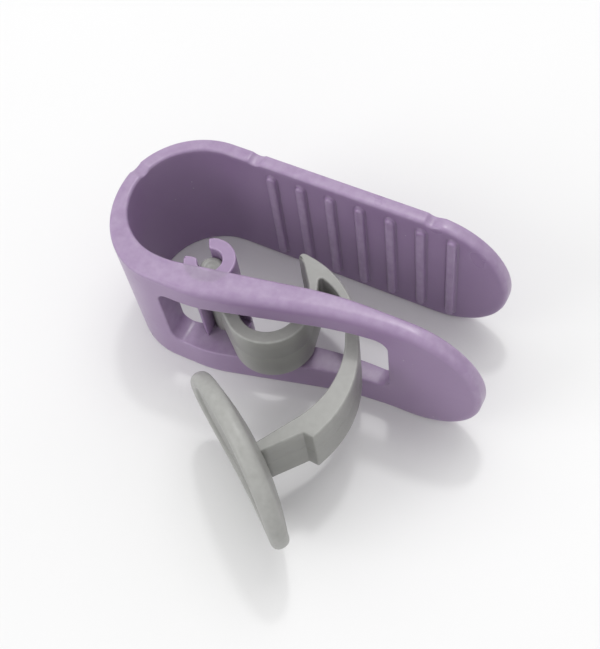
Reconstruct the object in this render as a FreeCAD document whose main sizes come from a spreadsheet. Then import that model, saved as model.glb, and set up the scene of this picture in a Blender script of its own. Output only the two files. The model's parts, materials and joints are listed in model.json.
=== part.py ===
"""Spring clip with a swing lever: a U-shaped clip that stands on its long edge, and a latching lever.

Millimetres. +Z is up and the clip rests on z = 0. The origin is in the middle of the rear arm's wall,
where the straight arm meets the round bow, so +X runs along the rear arm to its tip and the front arm
lies on the -Y side. The lever swings about a pin that stands upright in a C-shaped socket on the
front arm, and works through the window in that arm.
"""
import FreeCAD, Part
import os
import Sketcher
from math import pi

V = FreeCAD.Vector

SIZES = {
    # clip, overall
    "clip_height": 25.0,
    "bow_gap": 21.5,            # between the two inner faces at the bow
    "tip_gap": 16.25,           # between the two inner faces at the tips
    "rear_reach": 49.35,        # from the bow's centre to the rear arm's tip
    "front_reach": 52.85,       # from the bow's centre to the front arm's tip
    "rear_wall": 2.3,
    "front_root_wall": 4.35,    # front arm's wall where it leaves the bow
    "front_tip_wall": 2.6,
    "tip_flat": 0.4,            # straight part left between a tip's two round corners
    # the front arm's gentle S, seen from above
    "inner_bend_start": 2.0,
    "inner_bend_end": 28.3,
    "outer_bend_start": 7.5,
    "outer_bend_end": 32.9,
    "root_bend_radius": 22.0,
    "root_bend_share": 0.7907,  # share of the level run at the inner root that its bend uses
    "tip_bend_radius": 60.0,
    # window through the front arm
    "window_start": 0.8,
    "rail_below": 6.4,          # wall left below and above the window
    "rail_above": 4.4,
    "window_corner": 2.2,
    # grip ribs inside the rear arm
    "rib_count": 7,
    "rib_first": 8.05,
    "rib_last": 9.56,           # from the last rib to the rear arm's tip
    "rib_width": 1.5,
    "rib_margin": 1.9,          # from a rib's end to the arm's long edge
    "rib_stand": 0.55,
    # hinge socket
    "hinge_ahead": 7.6,         # hinge axis ahead of the bow's centre
    "hinge_inset": 2.42,        # hinge axis inside the front arm's inner face at its root
    "pin_radius": 1.95,
    "pin_clearance": 0.05,
    "pin_recess": 2.25,         # half of what the pin is shorter than the clip is high
    "socket_wall": 2.1,
    "mouth_from": 121.0,        # the socket's mouth, degrees from +X
    "mouth_to": 191.0,
    "slot_play": 0.3,           # beside the lever's link, in the slot cut through the socket
    "cut_margin": 1.0,          # how far a cut runs on past what it cuts
    # lever
    "play_below": 1.2,          # between the lever's strip and the window, below and above
    "play_above": 2.8,
    "strip_wall": 2.35,
    "loop_offset": 9.3,         # from the hinge axis to the loop's centre
    "loop_bore": 4.75,
    "latch_radius": 30.5,       # from the hinge axis to the lip's outer corner
    "latch_play": 0.3,          # between that corner and the window's end
    "latch_depth": 1.0,
    "latch_angle": -33.6,
    "notch_turn": 1.7,          # degrees from the lip to the notch below it
    "join_lap": 0.02,           # how far neighbouring lengths of the strip run into each other
    "leg_root_rise": 0.1,       # start of the claw's leg above the loop's middle
    "loop_over_run": 2.0,       # degrees the loop runs on past the start of the leg
    # thumb pad
    "pad_ahead": 16.45,         # pad's middle, from the hinge axis
    "pad_out": -22.55,
    "pad_angle": -36.3,
    "pad_length": 30.2,
    "pad_margin": 0.3,          # half of what the pad is lower than the clip
    "pad_wall": 2.5,
    "pad_dish": 48.0,
    "pad_round": 0.9,
    "pad_block": 20.0,          # depth of the oval block that the plate is cut from
}

# Corners of the lever's claw, arm and stem from above, measured from the hinge axis: x, y and the
# radius that rounds the corner. The strip starts and ends at the loop. The x of the leg's, claw's and
# arm's corners is measured from the loop's outer side, and that of the leg's inner corner from its bore.
LEVER_CORNERS = {
    "leg_outer": (-1.2, 5.66, 3.0),
    "crotch": (-2.1, 7.95, 0.4),
    "claw_inner": (4.2, 5.94, 11.0),
    "waist_inner": (6.04, 0.36, 0.0),
    "arm_inner": (10.17, -8.16, 15.5),
    "stem_inner": (18.27, -21.84, 0.0),
    "stem_outer": (19.9, -22.72, 0.0),
    "arm_outer": (13.1, -7.65, 18.5),
    "waist_outer": (8.07, 1.07, 0.0),
    "claw_outer": (3.59, 9.47, 17.0),
    "tip": (9.1, 11.25, 0.8),
    "tip_heel": (9.6, 9.9, 0.0),
    "leg_top": (10.9, 9.1, 1.0),
    "leg_inner": (-0.15, 5.2, 3.0),
}

# Corners whose x is measured from the loop's outer side.
BESIDE_LOOP = ("leg_outer", "crotch", "claw_inner", "waist_inner", "arm_inner", "arm_outer", "waist_outer",
               "claw_outer")

# Expressions that several pieces share.
BOW_Y = "-(Sizes.rear_wall + Sizes.bow_gap) / 2"
FRONT_INNER_Y = "-(Sizes.rear_wall / 2 + Sizes.bow_gap)"
HINGE_Y = FRONT_INNER_Y + " + Sizes.hinge_inset"
BORE_RADIUS = "(Sizes.pin_radius + Sizes.pin_clearance)"
SOCKET_RADIUS = "(Sizes.pin_radius + Sizes.pin_clearance + Sizes.socket_wall)"
WINDOW_HEIGHT = "(Sizes.clip_height - Sizes.rail_below - Sizes.rail_above)"
LEVER_BASE = "(Sizes.rail_below + Sizes.play_below)"
LEVER_HEIGHT = f"({WINDOW_HEIGHT} - Sizes.play_below - Sizes.play_above)"
LEVER_MIDDLE = f"({LEVER_BASE} + {LEVER_HEIGHT} / 2)"
PIN_LENGTH = "(Sizes.clip_height - 2 * Sizes.pin_recess)"
PAD_HEIGHT = "(Sizes.clip_height - 2 * Sizes.pad_margin)"
RIB_PITCH = "((Sizes.rear_reach - Sizes.rib_last - Sizes.rib_first) / (Sizes.rib_count - 1))"
TIP_ROUND = "(Sizes.clip_height - Sizes.tip_flat) / 2"
LOOP_MIDDLE = "(Sizes.loop_bore + Sizes.strip_wall / 2)"
LOOP_INNER_SIDE = "Sizes.loop_offset + Sizes.loop_bore"
LOOP_OUTER_SIDE = "Sizes.loop_offset + Sizes.loop_bore + Sizes.strip_wall"
LINK_DIP = f"(asin({LOOP_MIDDLE} / Sizes.loop_offset) / 1 deg)"


def fill_sheet(doc):
    """Write every driving size into the spreadsheet, one alias each."""
    sheet = doc.addObject("Spreadsheet::Sheet", "Sizes")
    sizes = dict(SIZES)
    for corner, (x, y, radius) in LEVER_CORNERS.items():
        sizes[corner + "_x"] = x
        sizes[corner + "_y"] = y
        sizes[corner + "_round"] = radius
    for row, (alias, value) in enumerate(sizes.items(), start=1):
        sheet.set(f"A{row}", alias)
        sheet.set(f"B{row}", str(value))
        sheet.setAlias(f"B{row}", alias)
    doc.recompute()
    return sheet


def new_body(doc, name):
    body = doc.addObject("PartDesign::Body", name)
    body.Label = name
    return body


def origin_feature(body, role):
    return next(feature for feature in body.Origin.OriginFeatures if feature.Role == role)


def attach(feature, body, plane):
    feature.AttachmentSupport = [(origin_feature(body, plane), "")]
    feature.MapMode = "FlatFace"


def polygon(body, name, corners, plane="XY_Plane"):
    """A closed sketch of straight edges; each corner is an (x, y) pair of expressions."""
    sketch = body.newObject("Sketcher::SketchObject", name)
    attach(sketch, body, plane)
    count = len(corners)
    for index in range(count):
        start = V(index, index * index, 0)
        after = (index + 1) % count
        sketch.addGeometry(Part.LineSegment(start, V(after, after * after, 0)))
    for index in range(count):
        after = (index + 1) % count
        sketch.addConstraint(Sketcher.Constraint("Coincident", index, 2, after, 1))
    for index, pair in enumerate(corners):
        for kind, expression in zip(("DistanceX", "DistanceY"), pair):
            number = sketch.addConstraint(Sketcher.Constraint(kind, -1, 1, index, 1, 1.0))
            sketch.setExpression(f"Constraints[{number}]", expression)
    return sketch


def pad(body, name, sketch, length, offset="0"):
    sketch.setExpression("AttachmentOffset.Base.z", offset)
    feature = body.newObject("PartDesign::Pad", name)
    feature.Profile = sketch
    feature.setExpression("Length", length)
    body.Document.recompute()
    return feature


def primitive(body, kind, name, sizes, place, turn="0", plane="XY_Plane"):
    """An additive or subtractive primitive on a body's plane, at an (x, y, z) of expressions."""
    feature = body.newObject("PartDesign::" + kind, name)
    attach(feature, body, plane)
    for prop, expression in sizes.items():
        feature.setExpression(prop, expression)
    for axis, expression in zip("xyz", place):
        feature.setExpression("AttachmentOffset.Base." + axis, expression)
    feature.AttachmentOffset = FreeCAD.Placement(V(0, 0, 0), FreeCAD.Rotation(V(0, 0, 1), 1))
    feature.setExpression("AttachmentOffset.Rotation.Angle", turn)
    body.Document.recompute()
    return feature


def edges_near(feature, direction, places):
    """Names of the straight edges along a direction that pass through any of the places."""
    names = []
    for number, edge in enumerate(feature.Shape.Edges, start=1):
        if edge.Curve.TypeId != "Part::GeomLine":
            continue
        along = edge.Curve.Direction
        if abs(abs(along.dot(direction)) - 1) > 1e-6:
            continue
        start = edge.Vertexes[0].Point
        for place in places:
            gap = place - start
            if (gap - along * gap.dot(along)).Length < 1e-3:
                names.append(f"Edge{number}")
                break
    return names


def fillet(body, name, edges, radius):
    base = body.Tip
    feature = body.newObject("PartDesign::Fillet", name)
    feature.Base = (base, edges)
    feature.setExpression("Radius", radius)
    body.Document.recompute()
    return feature


def round_corners(body, sketch, rounds):
    """Round the upright edges that stand on a sketch's corners, each with its own radius."""
    corners = [line.StartPoint for line in sketch.Geometry]
    for index, radius in rounds.items():
        edges = edges_near(body.Tip, V(0, 0, 1), [corners[index]])
        fillet(body, f"{sketch.Name}_round{index}", edges, radius)


def round_tip(body, name):
    """Round an arm's end in side view: the two edges across its end, top and bottom."""
    box = body.Tip.Shape.BoundBox
    places = [V(box.XMax, 0, box.ZMin), V(box.XMax, 0, box.ZMax)]
    fillet(body, name, edges_near(body.Tip, V(0, 1, 0), places), TIP_ROUND)


def make_rear_arm(doc):
    """Straight arm with a half-round end and a row of grip ribs on its inner face."""
    body = new_body(doc, "rear_arm")
    inner = "-Sizes.rear_wall / 2"
    outer = "Sizes.rear_wall / 2"
    reach = "Sizes.rear_reach"
    plan = polygon(body, "rear_plan", [("0", inner), (reach, inner), (reach, outer), ("0", outer)])
    pad(body, "rear_strip", plan, "Sizes.clip_height")
    round_tip(body, "rear_tip")
    for number in range(int(doc.Sizes.rib_count)):
        add_rib(body, number)
    return body


def add_rib(body, number):
    """One upright grip rib: a bar with a half-round cap at either end, started inside the wall."""
    ahead = f"Sizes.rib_first + {number} * {RIB_PITCH}"
    straight = "(Sizes.clip_height - 2 * Sizes.rib_margin - Sizes.rib_width)"
    half = f"{straight} / 2"
    middle = "Sizes.clip_height / 2"
    inside = "Sizes.rear_wall / 2 - Sizes.rib_stand"
    tall = {"Height": "Sizes.rib_stand * 2"}
    primitive(
        body, "AdditiveBox", f"rib_bar{number}",
        {"Length": "Sizes.rib_width", "Width": straight, **tall},
        (f"{ahead} - Sizes.rib_width / 2", f"{middle} - {half}", inside), plane="XZ_Plane")
    for end, sign in (("foot", "-"), ("head", "+")):
        primitive(
            body, "AdditiveCylinder", f"rib_{end}{number}",
            {"Radius": "Sizes.rib_width / 2", "Angle": "360", **tall},
            (ahead, f"{middle} {sign} {half}", inside), plane="XZ_Plane")


def make_bow(doc, sheet):
    """Round bow: a half-round inside, and outside a quarter circle that runs into a quarter ellipse,
    so that its wall grows from the rear arm's to the front arm's."""
    body = new_body(doc, "spring_bow")
    sketch = body.newObject("Sketcher::SketchObject", "bow_plan")
    attach(sketch, body, "XY_Plane")
    inner = sheet.bow_gap / 2
    outer = inner + sheet.rear_wall
    drop = inner + sheet.front_root_wall
    middle = V(0, -(sheet.rear_wall + sheet.bow_gap) / 2, 0)
    ellipse = Part.Ellipse(middle - V(0, drop, 0), middle + V(outer, 0, 0), middle)
    sketch.addGeometry([
        Part.ArcOfCircle(Part.Circle(middle, V(0, 0, 1), outer), pi / 2, pi),
        Part.ArcOfEllipse(ellipse, 3 * pi / 2, 2 * pi),
        Part.LineSegment(middle - V(0, drop, 0), middle - V(0, inner, 0)),
        Part.ArcOfCircle(Part.Circle(middle, V(0, 0, 1), inner), pi / 2, 3 * pi / 2),
        Part.LineSegment(middle + V(0, inner, 0), middle + V(0, outer, 0)),
    ])
    for first, end, second, start in ((0, 2, 1, 1), (1, 2, 2, 1), (2, 2, 3, 2), (3, 1, 4, 1), (4, 2, 0, 1)):
        sketch.addConstraint(Sketcher.Constraint("Coincident", first, end, second, start))
    for curve in (0, 1, 3):
        sketch.addConstraint(Sketcher.Constraint("PointOnObject", curve, 3, -2))
    sized = [
        ("DistanceY", 0, 3, BOW_Y), ("DistanceY", 1, 3, BOW_Y), ("DistanceY", 3, 3, BOW_Y),
        ("DistanceY", 0, 2, BOW_Y), ("DistanceX", 4, 1, "0"), ("DistanceX", 4, 2, "0"),
        ("DistanceX", 2, 1, "0"), ("DistanceX", 2, 2, "0"),
        ("DistanceY", 2, 1, FRONT_INNER_Y + " - Sizes.front_root_wall"),
    ]
    for kind, curve, point, expression in sized:
        place = sketch.getPoint(curve, point)
        value = place.x if kind == "DistanceX" else place.y
        number = sketch.addConstraint(Sketcher.Constraint(kind, -1, 1, curve, point, value))
        sketch.setExpression(f"Constraints[{number}]", expression)
    for curve, radius in ((0, "Sizes.bow_gap / 2 + Sizes.rear_wall"), (3, "Sizes.bow_gap / 2")):
        value = sketch.Geometry[curve].Radius
        number = sketch.addConstraint(Sketcher.Constraint("Radius", curve, value))
        sketch.setExpression(f"Constraints[{number}]", radius)
    pad(body, "bow_strip", sketch, "Sizes.clip_height")
    return body


def make_front_arm(doc):
    """S-shaped arm, thick at the bow and thin at the tip, with the window and the hinge socket."""
    body = new_body(doc, "front_arm")
    root_inner = FRONT_INNER_Y
    root_outer = FRONT_INNER_Y + " - Sizes.front_root_wall"
    tip_inner = "-(Sizes.rear_wall / 2 + Sizes.tip_gap)"
    tip_outer = tip_inner + " - Sizes.front_tip_wall"
    plan = polygon(body, "front_plan", [
        ("0", root_outer), ("Sizes.outer_bend_start", root_outer), ("Sizes.outer_bend_end", tip_outer),
        ("Sizes.front_reach", tip_outer), ("Sizes.front_reach", tip_inner),
        ("Sizes.inner_bend_end", tip_inner), ("Sizes.inner_bend_start", root_inner), ("0", root_inner)])
    pad(body, "front_strip", plan, "Sizes.clip_height")
    root, tip = "Sizes.root_bend_radius", "Sizes.tip_bend_radius"
    round_corners(body, plan, {1: root, 2: tip, 5: tip, 6: inner_root_radius()})
    round_tip(body, "front_tip")
    cut_window(body)
    add_socket(body)
    return body


def inner_root_radius():
    """Radius of the inner bend at the root: its tangent takes up a set share of the level run before it."""
    rise = "(Sizes.bow_gap - Sizes.tip_gap) / (Sizes.inner_bend_end - Sizes.inner_bend_start)"
    return f"Sizes.root_bend_share * Sizes.inner_bend_start / tan(atan({rise}) / 2)"


def cut_window(body):
    """Window through the arm: it ends just past the reach of the lever's lip."""
    end = "(Sizes.hinge_ahead + Sizes.latch_radius + Sizes.latch_play)"
    primitive(
        body, "SubtractiveBox", "window",
        {"Length": end + " - Sizes.window_start", "Height": WINDOW_HEIGHT, "Width": "Sizes.bow_gap"},
        ("Sizes.window_start", root_side("Sizes.front_root_wall + Sizes.bow_gap / 2"), "Sizes.rail_below"))
    sheet = body.Document.Sizes
    ends = (sheet.window_start, sheet.hinge_ahead + sheet.latch_radius + sheet.latch_play)
    levels = (sheet.rail_below, sheet.clip_height - sheet.rail_above)
    places = [V(x, 0, z) for x in ends for z in levels]
    fillet(body, "window_round", edges_near(body.Tip, V(0, 1, 0), places), "Sizes.window_corner")


def root_side(distance):
    """Y of a line outside the front arm's inner face at its root, as an expression."""
    return f"{FRONT_INNER_Y} - ({distance})"


def add_socket(body):
    """Upright C that the hinge pin snaps into, slotted at the window's height for the lever's link."""
    hinge = ("Sizes.hinge_ahead", HINGE_Y)
    full = {"Height": "Sizes.clip_height", "Angle": "360"}
    primitive(body, "AdditiveCylinder", "socket", {"Radius": SOCKET_RADIUS, **full}, (*hinge, "0"))
    primitive(body, "SubtractiveCylinder", "socket_bore", {"Radius": BORE_RADIUS, **full}, (*hinge, "0"))
    primitive(
        body, "SubtractiveCylinder", "socket_mouth",
        {"Radius": SOCKET_RADIUS + " + Sizes.join_lap / 2", "Height": "Sizes.clip_height",
         "Angle": "Sizes.mouth_to - Sizes.mouth_from"},
        (*hinge, "0"), turn="Sizes.mouth_from")
    side = "(Sizes.strip_wall / 2 + Sizes.slot_play)"
    primitive(
        body, "SubtractiveBox", "link_slot",
        {"Length": f"{SOCKET_RADIUS} + {side} + Sizes.cut_margin", "Width": f"{SOCKET_RADIUS} + {side}",
         "Height": WINDOW_HEIGHT},
        (f"Sizes.hinge_ahead - {side}", f"{HINGE_Y} - {SOCKET_RADIUS}", "Sizes.rail_below"))


def lever_corner(name):
    """A corner of the lever as a pair of expressions; the lip and notch follow the latch's radius."""
    polar = {
        "lip": ("Sizes.latch_radius", "Sizes.latch_angle"),
        "notch": ("(Sizes.latch_radius - Sizes.latch_depth)", "(Sizes.latch_angle - Sizes.notch_turn)"),
    }
    root = {
        "leg_root_outer": LOOP_OUTER_SIDE + " - Sizes.join_lap",
        "leg_root_inner": LOOP_INNER_SIDE + " + Sizes.join_lap",
    }
    beside_loop = dict.fromkeys(BESIDE_LOOP, LOOP_OUTER_SIDE)
    beside_loop["leg_inner"] = LOOP_INNER_SIDE
    if name in polar:
        radius, angle = polar[name]
        return f"{radius} * cos({angle})", f"{radius} * sin({angle})"
    if name in root:
        return root[name], "Sizes.leg_root_rise"
    if name in beside_loop:
        return f"{beside_loop[name]} + Sizes.{name}_x", f"Sizes.{name}_y"
    return f"Sizes.{name}_x", f"Sizes.{name}_y"


def make_lever(doc):
    """One strip of constant height: hinge pin, link, open loop, claw, curved arm with lip, and stem."""
    body = new_body(doc, "swing_lever")
    order = ["leg_root_outer", "leg_outer", "crotch", "claw_inner", "waist_inner", "arm_inner",
             "stem_inner", "stem_outer", "notch", "lip", "arm_outer", "waist_outer", "claw_outer",
             "tip", "tip_heel", "leg_top", "leg_inner", "leg_root_inner"]
    plan = polygon(body, "claw_plan", [lever_corner(name) for name in order])
    pad(body, "claw", plan, LEVER_HEIGHT, LEVER_BASE)
    rounds = {index: f"Sizes.{name}_round" for index, name in enumerate(order)
              if LEVER_CORNERS.get(name, (0, 0, 0))[2] > 0}
    round_corners(body, plan, rounds)
    tall = {"Height": LEVER_HEIGHT}
    primitive(
        body, "AdditiveCylinder", "loop",
        {"Radius": "Sizes.loop_bore + Sizes.strip_wall", "Angle": f"90 + Sizes.loop_over_run + {LINK_DIP}",
         **tall},
        ("Sizes.loop_offset", "0", LEVER_BASE), turn=f"-90 - {LINK_DIP}")
    primitive(
        body, "SubtractiveCylinder", "loop_hollow",
        {"Radius": "Sizes.loop_bore", "Angle": "360", **tall}, ("Sizes.loop_offset", "0", LEVER_BASE))
    half = "(Sizes.strip_wall / 2)"
    primitive(
        body, "AdditiveBox", "link",
        {"Length": f"sqrt(Sizes.loop_offset ^ 2 - {LOOP_MIDDLE} ^ 2) + Sizes.join_lap",
         "Width": "Sizes.strip_wall", **tall},
        (f"-{half} * sin({LINK_DIP})", f"-{half} * cos({LINK_DIP})", LEVER_BASE), turn=f"-{LINK_DIP}")
    primitive(
        body, "AdditiveCylinder", "hinge_pin",
        {"Radius": "Sizes.pin_radius", "Height": PIN_LENGTH, "Angle": "360"},
        ("0", "0", f"{LEVER_MIDDLE} - {PIN_LENGTH} / 2"))
    body.setExpression("Placement.Base.x", "Sizes.hinge_ahead")
    body.setExpression("Placement.Base.y", HINGE_Y)
    doc.recompute()
    return body


def make_thumb_pad(doc):
    """Oval plate, dished on both faces, that stands upright at the end of the stem."""
    outline = doc.addObject("Part::Ellipse", "pad_outline")
    outline.setExpression("MajorRadius", "Sizes.pad_length / 2")
    outline.setExpression("MinorRadius", f"{PAD_HEIGHT} / 2")
    outline.Placement = FreeCAD.Placement(V(0, 0, 0), FreeCAD.Rotation(V(1, 0, 0), 90))
    block = doc.addObject("Part::Extrusion", "pad_block")
    block.Base = outline
    block.DirMode = "Custom"
    block.Dir = V(0, 1, 0)
    block.Solid = True
    block.Symmetric = True
    block.setExpression("LengthFwd", "Sizes.pad_block")
    # The plate is the part of the oval block that lies between two balls about one point.
    shells = []
    for name, radius in (("pad_back", "Sizes.pad_dish"), ("pad_front", "Sizes.pad_dish - Sizes.pad_wall")):
        ball = doc.addObject("Part::Sphere", name)
        ball.setExpression("Radius", radius)
        ball.setExpression("Placement.Base.y", "Sizes.pad_wall - Sizes.pad_dish")
        shells.append(ball)
    shell = doc.addObject("Part::Cut", "pad_shell")
    shell.Base, shell.Tool = shells
    plate = doc.addObject("Part::Common", "pad_plate")
    plate.Base, plate.Tool = block, shell
    doc.recompute()
    smooth = doc.addObject("Part::Fillet", "thumb_pad")
    smooth.Base = plate
    sheet = doc.Sizes
    rims = [number for number, edge in enumerate(plate.Shape.Edges, start=1) if is_rim(plate.Shape, edge)]
    smooth.Edges = [(number, sheet.pad_round, sheet.pad_round) for number in rims]
    smooth.Label = "thumb_pad"
    turn = FreeCAD.Rotation(V(0, 0, 1), sheet.pad_angle)
    smooth.Placement = FreeCAD.Placement(V(0, 0, 0), turn)
    smooth.setExpression("Placement.Base.x", "Sizes.hinge_ahead + Sizes.pad_ahead")
    smooth.setExpression("Placement.Base.y", f"{HINGE_Y} + Sizes.pad_out")
    smooth.setExpression("Placement.Base.z", LEVER_MIDDLE)
    doc.recompute()
    return smooth


def is_rim(shape, edge):
    """Whether an edge lies between a dished face and the oval rim."""
    kinds = {face.Surface.TypeId for face in shape.ancestorsOfType(edge, Part.Face)}
    return "Part::GeomSphere" in kinds and len(kinds) == 2


def check(doc, parts):
    """Stop if any object failed or a part is not one valid solid."""
    for thing in doc.Objects:
        if "Invalid" in thing.State or "Error" in thing.State:
            raise RuntimeError(f"{thing.Name} failed: {thing.State}")
    for part in parts:
        shape = part.Shape
        if shape.isNull() or not shape.isValid() or len(shape.Solids) != 1:
            raise RuntimeError(f"{part.Label} is not one valid solid")


def main():
    doc = FreeCAD.newDocument("spring_clip")
    sheet = fill_sheet(doc)
    parts = [make_rear_arm(doc), make_bow(doc, sheet), make_front_arm(doc), make_lever(doc),
             make_thumb_pad(doc)]
    doc.recompute()
    check(doc, parts)
    os.makedirs("parts", exist_ok=True)
    for part in parts:
        part.Shape.exportStep(f"parts/{part.Label}.step")
        box = part.Shape.BoundBox
        print(f"{part.Label}: {part.Shape.Volume:.1f} mm3, x {box.XMin:.2f} to {box.XMax:.2f}, "
              f"y {box.YMin:.2f} to {box.YMax:.2f}, z {box.ZMin:.2f} to {box.ZMax:.2f}")


main()
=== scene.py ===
import json
from math import atan, cos, degrees, pi, radians, sin, tan

import bpy
import numpy as np
from mathutils import Matrix, Vector
from mathutils.geometry import delaunay_2d_cdt


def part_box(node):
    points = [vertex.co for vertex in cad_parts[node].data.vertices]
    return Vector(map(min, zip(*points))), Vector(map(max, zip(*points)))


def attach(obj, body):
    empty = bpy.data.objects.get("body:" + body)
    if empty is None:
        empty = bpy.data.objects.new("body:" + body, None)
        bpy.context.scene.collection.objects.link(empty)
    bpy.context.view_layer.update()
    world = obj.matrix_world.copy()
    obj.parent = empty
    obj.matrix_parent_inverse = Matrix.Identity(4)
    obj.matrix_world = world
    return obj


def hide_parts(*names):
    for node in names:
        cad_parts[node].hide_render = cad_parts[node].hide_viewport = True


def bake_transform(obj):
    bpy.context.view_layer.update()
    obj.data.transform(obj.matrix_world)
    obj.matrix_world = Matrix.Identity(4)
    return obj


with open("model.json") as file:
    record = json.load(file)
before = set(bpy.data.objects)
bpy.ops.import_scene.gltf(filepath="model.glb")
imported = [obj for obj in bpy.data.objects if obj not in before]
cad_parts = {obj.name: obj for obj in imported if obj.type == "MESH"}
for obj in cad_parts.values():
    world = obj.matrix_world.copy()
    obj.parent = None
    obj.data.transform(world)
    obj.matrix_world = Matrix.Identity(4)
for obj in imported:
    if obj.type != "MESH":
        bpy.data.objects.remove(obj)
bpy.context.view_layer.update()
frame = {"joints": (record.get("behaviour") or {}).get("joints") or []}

MM = 0.001


def box_mm(node):
    """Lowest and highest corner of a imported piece, in millimetres."""
    low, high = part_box(node)
    return np.array(low) / MM, np.array(high) / MM


def joint_mm(name):
    """Place of a joint's axis, in millimetres."""
    joint = next(j for j in frame["joints"] if j["name"] == name)
    return np.array(joint["pos_m"]) / MM


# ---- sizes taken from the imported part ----
REAR_HIGH = box_mm("rear_arm")[1]
BOW_LOW = box_mm("spring_bow")[0]
FRONT_HIGH = box_mm("front_arm")[1]
LEVER_LOW, LEVER_HIGH = box_mm("swing_lever")
HINGE = joint_mm("lever_swing")

CLIP_HIGH = REAR_HIGH[2]
MID_HIGH = CLIP_HIGH / 2
REAR_REACH = REAR_HIGH[0]
FRONT_REACH = FRONT_HIGH[0]
OUTER_SKIN = REAR_HIGH[1]             # the rear arm's outer face
OUTER_RADIUS = -BOW_LOW[0]
BOW_Y = OUTER_SKIN - OUTER_RADIUS
REAR_WALL = 2 * OUTER_SKIN
INNER_RADIUS = OUTER_RADIUS - REAR_WALL
BOW_DROP = BOW_Y - BOW_LOW[1]         # down to the outer face where the front arm starts
BOW_RUN = pi * (INNER_RADIUS + OUTER_RADIUS) / 2

ROOT_INNER = BOW_Y - INNER_RADIUS     # the front arm's faces where it leaves the bow
ROOT_OUTER = BOW_LOW[1]
TIP_INNER, TIP_OUTER = -17.7, -20.6
INNER_BENDS = (2.0, 28.3, 16.0, 60.0)   # where the slope starts and ends, and the radius of each bend
OUTER_BENDS = (7.5, 32.9, 22.0, 60.0)

WINDOW_X = (0.8, 37.6)
WINDOW_Z = (6.4, 20.6)
WINDOW_CORNER = 2.2
RIM_BAND = 1.7                        # width of the strip along the rim that its rounding may use
RIM_STEPS = 10
ROWS = 22                             # rows between the two rim strips
TIP_RADIUS = MID_HIGH


# ---- mesh helpers ----
def grid_faces(across, along, ring=False):
    """Quads between neighbouring points of a grid stored row by row, with rows of the given length.
    With ring, the last point of each row joins its first."""
    column = np.arange(along if ring else along - 1)
    beside = (column + 1) % along
    row = np.arange(across - 1)[:, None] * along
    corners = [row + column, row + beside, row + along + beside, row + along + column]
    return np.stack(corners, -1).reshape(-1, 4)


def join(shells):
    """Several shells (points, faces, edge mask) as one, each face list moved past the points before it."""
    points, faces, masks, count = [], [], [], 0
    for shell_points, shell_faces, mask in shells:
        points.append(shell_points)
        masks.append(mask)
        faces += [[corner + count for corner in face] for face in shell_faces]
        count += len(shell_points)
    return np.concatenate(points), faces, np.concatenate(masks)


def add_piece(name, shell, material, body, nodes=()):
    """Make a mesh of a shell in millimetres, give it its material and hang it on its body."""
    points, faces, mask = shell
    mesh = bpy.data.meshes.new(name)
    mesh.from_pydata((points * MM).tolist(), [], faces)
    mesh.shade_smooth()
    # the edge mask pales edges in the material: painted highlight along rims and crowns, with wear
    mesh.attributes.new("edge", "FLOAT", "POINT").data.foreach_set("value", mask.astype(np.float32))
    mesh.validate()
    mesh.materials.append(material)
    piece = bpy.data.objects.new(name, mesh)
    bpy.context.scene.collection.objects.link(piece)
    if body:
        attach(piece, body)
    if nodes:
        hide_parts(*nodes)
    return piece


def quarter_round(depth, radius):
    """How far a face draws in at a distance from an edge that is rounded to a radius: the radius less the
    height of a circle there, and nothing beyond the radius."""
    share = np.clip(1 - depth / radius, 0, 1)
    return radius * (1 - np.sqrt(1 - share ** 2))


# ---- the clip, unrolled: q runs from the rear tip (negative) round the bow to the front tip ----
def bent_side(x, level, far_level, bends):
    """Side of the front arm from above: a level line, a slope and a level line, with an arc at each bend
    that is tangent to both lines."""
    start, end, first, second = bends
    slope = atan((far_level - level) / (end - start))
    lead, trail = first * tan(slope / 2), second * tan(slope / 2)
    rising = level + (x - start) * tan(slope)
    foot = level + first - np.sqrt(np.maximum(first ** 2 - (x - start + lead) ** 2, 0))
    head = far_level - second + np.sqrt(np.maximum(second ** 2 - (x - end - trail) ** 2, 0))
    return np.select(
        [x < start - lead, x < start + lead * cos(slope), x < end - trail * cos(slope), x < end + trail],
        [level, foot, rising, head], far_level)


def both_sides(q):
    """Inner and outer face of the clip's wall from above at each q: straight on the rear arm, a circle
    inside and a circle that runs into an ellipse outside on the bow, and the two bent sides in front."""
    turn = np.clip(q / BOW_RUN, 0, 1) * pi + pi / 2
    ahead = np.where(q < 0, -q, np.maximum(q - BOW_RUN, 0))
    drop = np.where(turn > pi, BOW_DROP, OUTER_RADIUS)
    inner = np.stack([INNER_RADIUS * np.cos(turn) + ahead, BOW_Y + INNER_RADIUS * np.sin(turn)], -1)
    outer = np.stack([OUTER_RADIUS * np.cos(turn) + ahead, BOW_Y + drop * np.sin(turn)], -1)
    front = q > BOW_RUN
    inner[:, 1] = np.where(front, bent_side(ahead, ROOT_INNER, TIP_INNER, INNER_BENDS), inner[:, 1])
    outer[:, 1] = np.where(front, bent_side(ahead, ROOT_OUTER, TIP_OUTER, OUTER_BENDS), outer[:, 1])
    return inner, outer


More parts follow.
